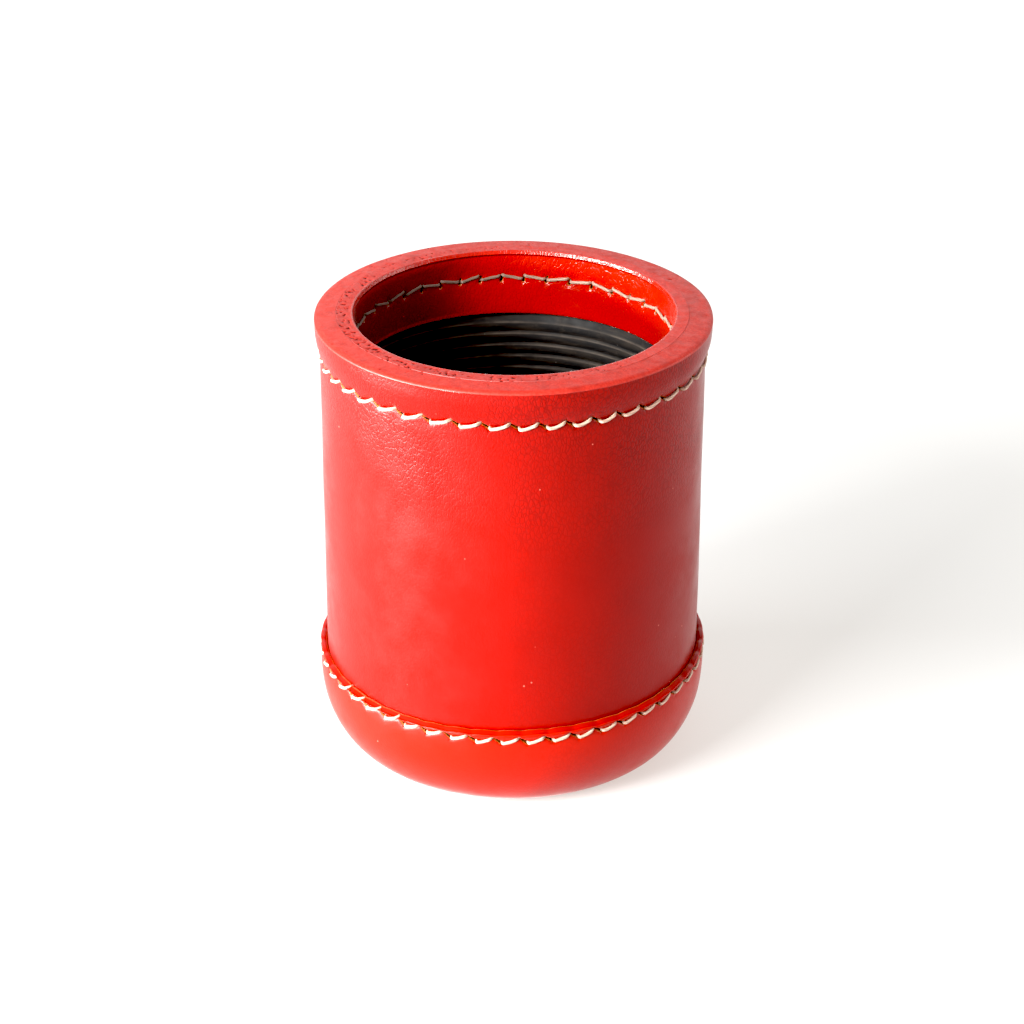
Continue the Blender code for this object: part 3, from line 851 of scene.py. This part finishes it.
def smooth_path(corners):
    """Points in space along a smooth closed curve through (angle, radius, height) points."""
    polar = np.array(corners)
    xyz = np.stack([
        polar[:, 1] * np.sin(polar[:, 0]),
        -polar[:, 1] * np.cos(polar[:, 0]),
        polar[:, 2],
    ], axis=1)
    before, after, beyond = np.roll(xyz, 1, axis=0), np.roll(xyz, -1, axis=0), np.roll(xyz, -2, axis=0)
    rows = []
    for u in (0.0, 0.5):
        rows.append(
            ((2 * u**2 - u**3 - u) * before + (3 * u**3 - 5 * u**2 + 2) * xyz
             + (4 * u**2 - 3 * u**3 + u) * after + (u**3 - u**2) * beyond) / 2
        )
    return np.stack(rows, axis=1).reshape(-1, 3)


def thread_piece(name, path, material):
    """A closed tube of three twisted strands along a path, a little flattened against the leather.

    Its inside value says where the thread lies in the mouth, and paints shade on the thread there. It is
    highest at the left.
    """
    sides, strands, twist_length = 14, 3, 2.6 * MM
    radii = np.hypot(path[:, 0], path[:, 1])
    inside = smooth((WALL_INSIDE - radii) / (1.5 * MM)) * (0.40 + 0.60 * smooth(0.5 - path[:, 0] / radii))
    ahead = np.roll(path, -1, axis=0) - np.roll(path, 1, axis=0)
    tangent = ahead / np.linalg.norm(ahead, axis=1, keepdims=True)
    outward = path * np.array([1, 1, 0])
    outward /= np.linalg.norm(outward, axis=1, keepdims=True)
    upward = np.tile(np.array([0.0, 0.0, 1.0]), (len(path), 1))
    across = upward - (upward * tangent).sum(1, keepdims=True) * tangent
    across /= np.linalg.norm(across, axis=1, keepdims=True)
    stand = np.cross(tangent, across)
    lengths = np.linalg.norm(np.roll(path, -1, axis=0) - path, axis=1)
    travelled = np.concatenate([[0], np.cumsum(lengths)[:-1]])
    turns = round(lengths.sum() / twist_length)
    twist = travelled / lengths.sum() * turns * math.tau / strands
    around = np.linspace(0, math.tau, sides, endpoint=False)
    lobe = np.cos(strands * (around[None, :] - twist[:, None]))
    size = THREAD_HALF_WIDTH * (0.94 + 0.07 * lobe)
    points = (path[:, None, :]
              + (size * np.cos(around))[:, :, None] * across[:, None, :]
              + (size * 0.86 * np.sin(around))[:, :, None] * stand[:, None, :])
    outward_faces = [face[::-1] for face in quads(len(path), sides, wrap=True)]
    values = {"strand": 0.5 + 0.5 * lobe, "inside": np.repeat(inside, sides)}
    return add_mesh(name, points.reshape(-1, 3), outward_faces, material, values)


def rim_thread_piece(material):
    """The thread that sews the facing to the wall."""
    rng = random.Random(11)

    def mouth(angle):
        return MOUTH_RADIUS + MOUTH_TO_RIGHT * math.sin(angle) - MOUTH_TO_BACK * math.cos(angle) + 0.06 * MM

    corners = thread_line(
        rim_slits(), lambda a: RIM_STITCH_Z, lambda a: INNER_STITCH_Z,
        lambda a: WALL_RADIUS + 0.06 * MM, mouth, rng,
    )
    return thread_piece("rim_stitching", smooth_path(corners), material)


def base_thread_piece(material):
    """The thread that sews the base to the wall."""
    rng = random.Random(23)

    def level(angle):
        return BASE_STITCH_Z + float(base_row_lift(angle))

    corners = thread_line(
        base_slits(), level, level, lambda a: BASE_RADIUS - 0.38 * MM, lambda a: WALL_INSIDE + 0.8 * MM, rng,
    )
    return thread_piece("base_stitching", smooth_path(corners), material)


# ---------------------------------------------------------------- the stage

def add_softbox(name, azimuth, elevation, distance, width, height, radiance, color=(1, 1, 1)):
    """A rectangular area light that faces the cup's middle. Angles in degrees, sizes in metres."""
    data = bpy.data.lights.new(name, "AREA")
    data.shape = "RECTANGLE"
    data.size, data.size_y = width, height
    data.energy = radiance * math.pi * width * height
    data.color = color
    light = bpy.data.objects.new(name, data)
    middle = Vector((0, 0, HEIGHT / 2))
    turn, lift = math.radians(azimuth), math.radians(elevation)
    away = Vector((math.sin(turn) * math.cos(lift), -math.cos(turn) * math.cos(lift), math.sin(lift)))
    light.location = middle + distance * away
    light.rotation_mode = "QUATERNION"
    light.rotation_quaternion = (-away).to_track_quat("-Z", "Y")
    light.visible_camera = False
    bpy.context.scene.collection.objects.link(light)


def build_stage():
    """A plain pale floor, two softboxes on the left, a weak one on the right, and one behind.

    The floor lies just below the cup's underside, so that the two faces never share a place.
    """
    half, level = 8.0, -0.05 * MM
    corners = [(-half, -half, level), (half, -half, level), (half, half, level), (-half, half, level)]
    floor = add_mesh("floor", corners, [(0, 1, 2, 3)], pale_floor(), {})
    add_softbox("key", -45, 27, 1.0, 0.42, 0.40, 41.0, (1.0, 0.975, 0.94))
    add_softbox("panel", -71, 5, 1.0, 0.7, 0.25, 106.0, (1.0, 0.98, 0.96))
    add_softbox("fill", 98, 14, 1.2, 0.8, 0.6, 4.4, (1.0, 0.97, 0.94))
    add_softbox("backdrop", 180, 22, 1.4, 2.4, 0.8, 0.9)
    world = bpy.data.worlds.new("studio")
    world.use_nodes = True
    background = world.node_tree.nodes["Background"]
    background.inputs["Color"].default_value = (1.0, 0.98, 0.96, 1.0)
    background.inputs["Strength"].default_value = 0.62
    bpy.context.scene.world = world
    view = bpy.context.scene.view_settings
    view.view_transform = "Standard"
    view.use_curve_mapping = True
    view.curve_mapping.black_level = (0.022, 0.022, 0.022)
    view.curve_mapping.update()


def build_camera():
    """A long lens from the front, looking down at about 22 degrees."""
    distance, rise, roll = 13.886 * RIM_RADIUS, 5.758 * RIM_RADIUS, 0.0024
    place = Vector((0, -distance, HEIGHT + rise))
    target = Vector((-0.0019 * RIM_RADIUS, 0, HEIGHT - 1.1351 * RIM_RADIUS))
    data = bpy.data.cameras.new("camera")
    data.lens, data.sensor_width = 104.8, 36.0
    camera = bpy.data.objects.new("camera", data)
    look = (target - place).to_track_quat("-Z", "Y").to_matrix().to_4x4()
    camera.matrix_world = Matrix.Translation(place) @ look @ Matrix.Rotation(roll, 4, "Z")
    bpy.context.scene.collection.objects.link(camera)
    bpy.context.scene.camera = camera


# ---------------------------------------------------------------- the object

def place_piece(piece, node):
    """The piece stands for that CAD node, which is hidden, and rides with it."""
    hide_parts(node)
    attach(piece, "root")


def build_cup():
    leather = red_leather("red_leather", rgb(134, 7, 0), rgb(139, 8, 0), 0.34, 1.0, 0.60, 0.25)
    facing = red_leather("red_facing", rgb(160, 20, 4), rgb(170, 26, 6), 0.24, 1.2, 0.12, 0.5)
    edge, rubber, thread = red_edge("red_edge"), black_rubber(), cream_thread()
    place_piece(wall_piece(leather, edge), "outer_wall")
    place_piece(band_piece(facing, edge), "mouth_band")
    place_piece(base_piece(leather), "base_cup")
    place_piece(liner_piece(rubber), "ribbed_liner")
    place_piece(pad_piece(rubber), "floor_pad")
    place_piece(rim_thread_piece(thread), "rim_thread")
    place_piece(base_thread_piece(thread), "base_thread")
    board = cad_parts["base_board"]
    for material_slot in board.material_slots:
        material_slot.material = brown_board()


build_stage()
build_camera()
build_cup()
